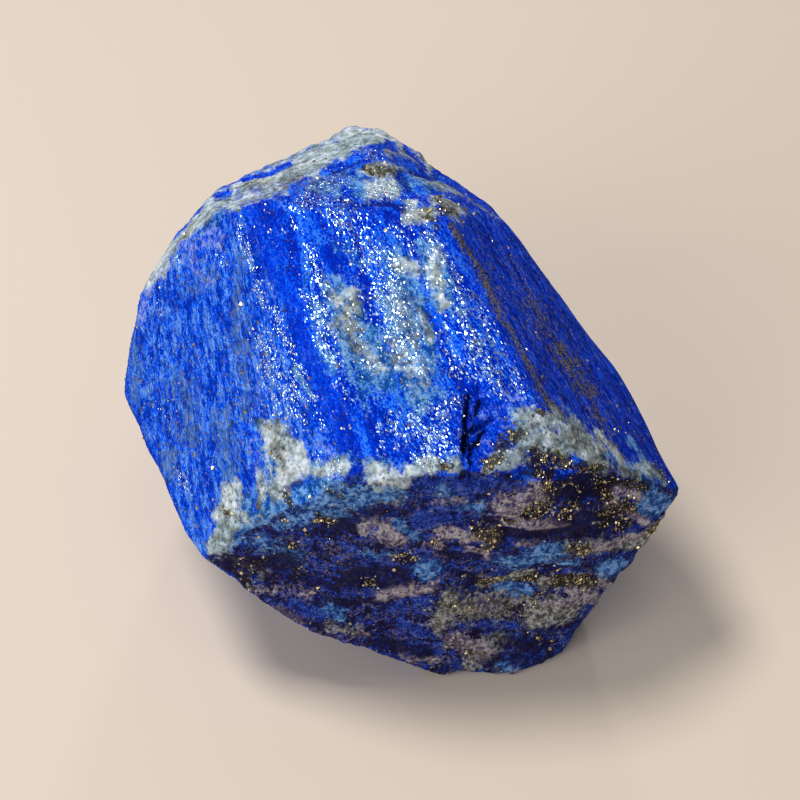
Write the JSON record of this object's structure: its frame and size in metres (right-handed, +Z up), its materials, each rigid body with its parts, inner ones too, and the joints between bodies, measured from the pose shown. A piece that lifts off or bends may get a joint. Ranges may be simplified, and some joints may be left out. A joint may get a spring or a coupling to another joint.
{
  "type": "rough lapis lazuli",
  "caption": "Hand-sized broken stone of deep blue rock with flat split faces, pale calcite patches, golden pyrite specks and a small flat spot to rest on.",
  "frame": {"origin": "on the surface that the stone rests on, below the middle of its bounding box", "axes": "+Z up from the flat spot that it rests on, -Y out of the dark broken face at the front, +X towards the striped side face; the grain of the rock runs down towards -Y"},
  "size_m": [0.11, 0.0993, 0.0878],
  "materials": {
    "lapis": "split and broken rock, half matte, with a wet-looking gloss on the polished split faces; ultramarine with lighter streaks, pale grey calcite patches and a dark mottled front",
    "pyrite": "small bright angular grains of natural pyrite, pale brassy gold"
  },
  "bodies": {
    "root": {"stone": "lapis"}
  },
  "joints": []
}
